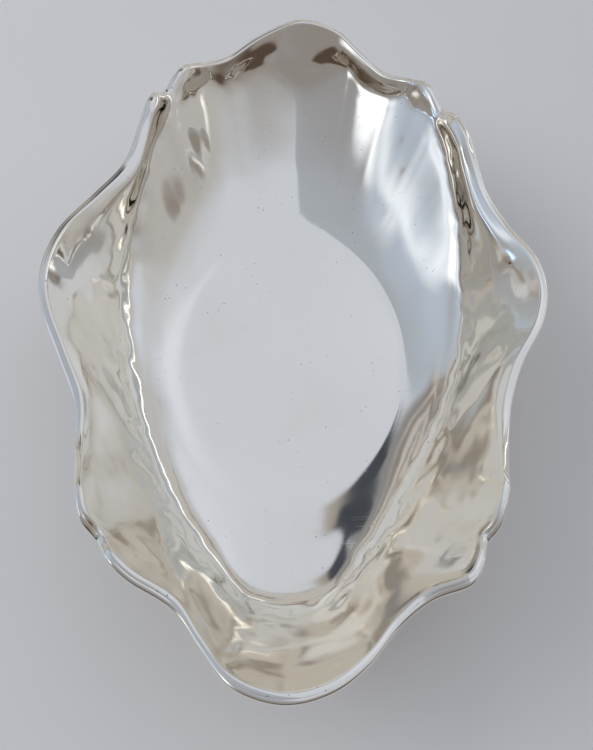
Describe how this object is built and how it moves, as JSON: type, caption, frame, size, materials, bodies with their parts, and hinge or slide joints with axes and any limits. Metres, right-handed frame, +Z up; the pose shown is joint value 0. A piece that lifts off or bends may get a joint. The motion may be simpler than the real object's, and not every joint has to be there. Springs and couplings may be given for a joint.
{
  "type": "hammered silver sauce dish",
  "caption": "Lobed oval hand-hammered silver sauce dish with flaring walls, notched wavy rim edged in half-round wire, and a flat oval base.",
  "frame": {"origin": "on the table plane, under the middle of the dish's length and width", "axes": "+Y along the dish to the far lobe, +X to the right-hand lobe, +Z up"},
  "size_m": [0.1634, 0.2484, 0.051],
  "materials": {
    "sheet_silver": "polished silver sheet, softly planished, with fine wear scratches",
    "wire_silver": "polished silver wire, soldered and burnished"
  },
  "bodies": {
    "root": {"bowl": "sheet_silver", "rim_wire_far": "wire_silver", "rim_wire_right": "wire_silver", "rim_wire_near": "wire_silver", "rim_wire_left": "wire_silver"}
  },
  "joints": []
}
